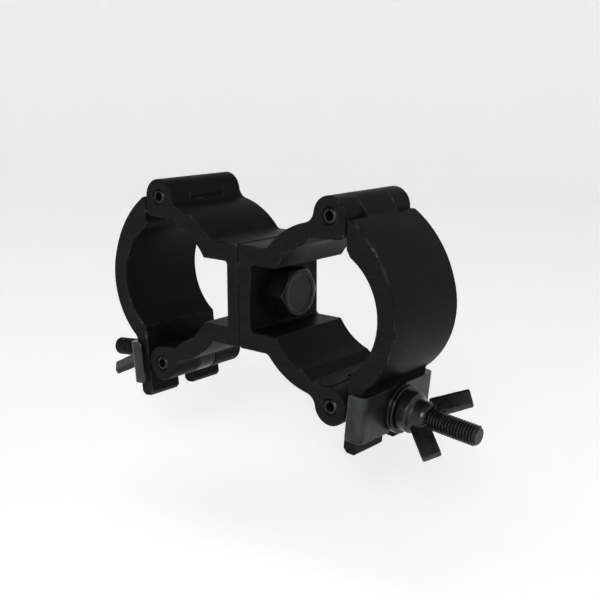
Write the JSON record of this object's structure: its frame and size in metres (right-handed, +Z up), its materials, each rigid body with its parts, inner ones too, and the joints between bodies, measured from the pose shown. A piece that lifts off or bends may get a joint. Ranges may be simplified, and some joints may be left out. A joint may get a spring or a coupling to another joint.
{
  "type": "swivel pipe clamp",
  "caption": "Swivel coupler for round tube: two hinged half clamps bolted back to back, each closed by a swing bolt, bearing plate and wing nut.",
  "frame": {"origin": "on the left half's tube axis, at mid width of the clamp", "axes": "+Y along the left half's tube, +X towards the swivel and the right half, +Z up towards the strap hinges"},
  "size_m": [0.1954, 0.0468, 0.0957],
  "materials": {
    "body_aluminium": "satin black coated extrusion",
    "strap_aluminium": "satin black coated extrusion with worn edges",
    "spring_pin_steel": "blackened spring steel",
    "bolt_steel": "black oxide, oiled",
    "plate_steel": "dark zinc, semi gloss",
    "washer_steel": "dark zinc, semi gloss",
    "wing_nut_black": "gloss black",
    "swivel_steel": "black oxide, semi gloss"
  },
  "bodies": {
    "left_clamp": {"left_saddle": "body_aluminium", "left_hinge_pin": "spring_pin_steel", "left_eyebolt_pin": "spring_pin_steel", "swivel_bolt": "swivel_steel", "swivel_washer": "swivel_steel", "swivel_nut": "swivel_steel"},
    "left_jaw": {"left_strap": "strap_aluminium", "left_bearing_plate": "plate_steel"},
    "left_swing_bolt": {"left_eyebolt": "bolt_steel"},
    "left_washers": {"left_inner_washer": "washer_steel", "left_outer_washer": "washer_steel"},
    "left_nut": {"left_wing_nut": "wing_nut_black"},
    "right_clamp": {"right_saddle": "body_aluminium", "right_hinge_pin": "spring_pin_steel", "right_eyebolt_pin": "spring_pin_steel"},
    "right_jaw": {"right_strap": "strap_aluminium", "right_bearing_plate": "plate_steel"},
    "right_swing_bolt": {"right_eyebolt": "bolt_steel"},
    "right_washers": {"right_inner_washer": "washer_steel", "right_outer_washer": "washer_steel"},
    "right_nut": {"right_wing_nut": "wing_nut_black"}
  },
  "joints": [
    {"name": "swivel", "type": "hinge", "parent": "left_clamp", "child": "right_clamp", "pos_m": [0.0409, 0, 0], "axis": [1, 0, 0], "continuous": true},
    {"name": "left_nut_spin", "type": "hinge", "parent": "left_washers", "child": "left_nut", "pos_m": [-0.02665, 0, -0.0382], "axis": [-0.9945, 0, -0.1045], "range_deg": [0, 7560]},
    {"name": "left_washer_travel", "type": "slide", "parent": "left_swing_bolt", "child": "left_washers", "axis": [-0.9945, 0, -0.1045], "range_m": [0, 0.02635]},
    {"name": "left_bolt_swing", "type": "hinge", "parent": "left_clamp", "child": "left_swing_bolt", "pos_m": [-0.00477, 0, -0.0359], "axis": [0, -1, 0], "range_deg": [0, 75.1]},
    {"name": "left_jaw_open", "type": "hinge", "parent": "left_clamp", "child": "left_jaw", "pos_m": [-0.00384, 0, 0.0359], "axis": [0, 1, 0], "range_deg": [0, 10.05]},
    {"name": "right_nut_spin", "type": "hinge", "parent": "right_washers", "child": "right_nut", "pos_m": [0.10845, 0, -0.0382], "axis": [0.9945, 0, -0.1045], "range_deg": [0, 7560]},
    {"name": "right_washer_travel", "type": "slide", "parent": "right_swing_bolt", "child": "right_washers", "axis": [0.9945, 0, -0.1045], "range_m": [0, 0.02635]},
    {"name": "right_bolt_swing", "type": "hinge", "parent": "right_clamp", "child": "right_swing_bolt", "pos_m": [0.08657, 0, -0.0359], "axis": [0, 1, 0], "range_deg": [0, 75.1]},
    {"name": "right_jaw_open", "type": "hinge", "parent": "right_clamp", "child": "right_jaw", "pos_m": [0.08564, 0, 0.0359], "axis": [0, -1, 0], "range_deg": [0, 10.05]}
  ],
  "couplings": [
    {"joint": "left_washer_travel", "follows": "left_nut_spin", "m_per_rad": 0.00019894},
    {"joint": "left_bolt_swing", "follows": "left_nut_spin", "ratio": 0.0099206},
    {"joint": "left_jaw_open", "follows": "left_nut_spin", "ratio": 0.0013228},
    {"joint": "right_washer_travel", "follows": "right_nut_spin", "m_per_rad": 0.00019894},
    {"joint": "right_bolt_swing", "follows": "right_nut_spin", "ratio": 0.0099206},
    {"joint": "right_jaw_open", "follows": "right_nut_spin", "ratio": 0.0013228}
  ]
}
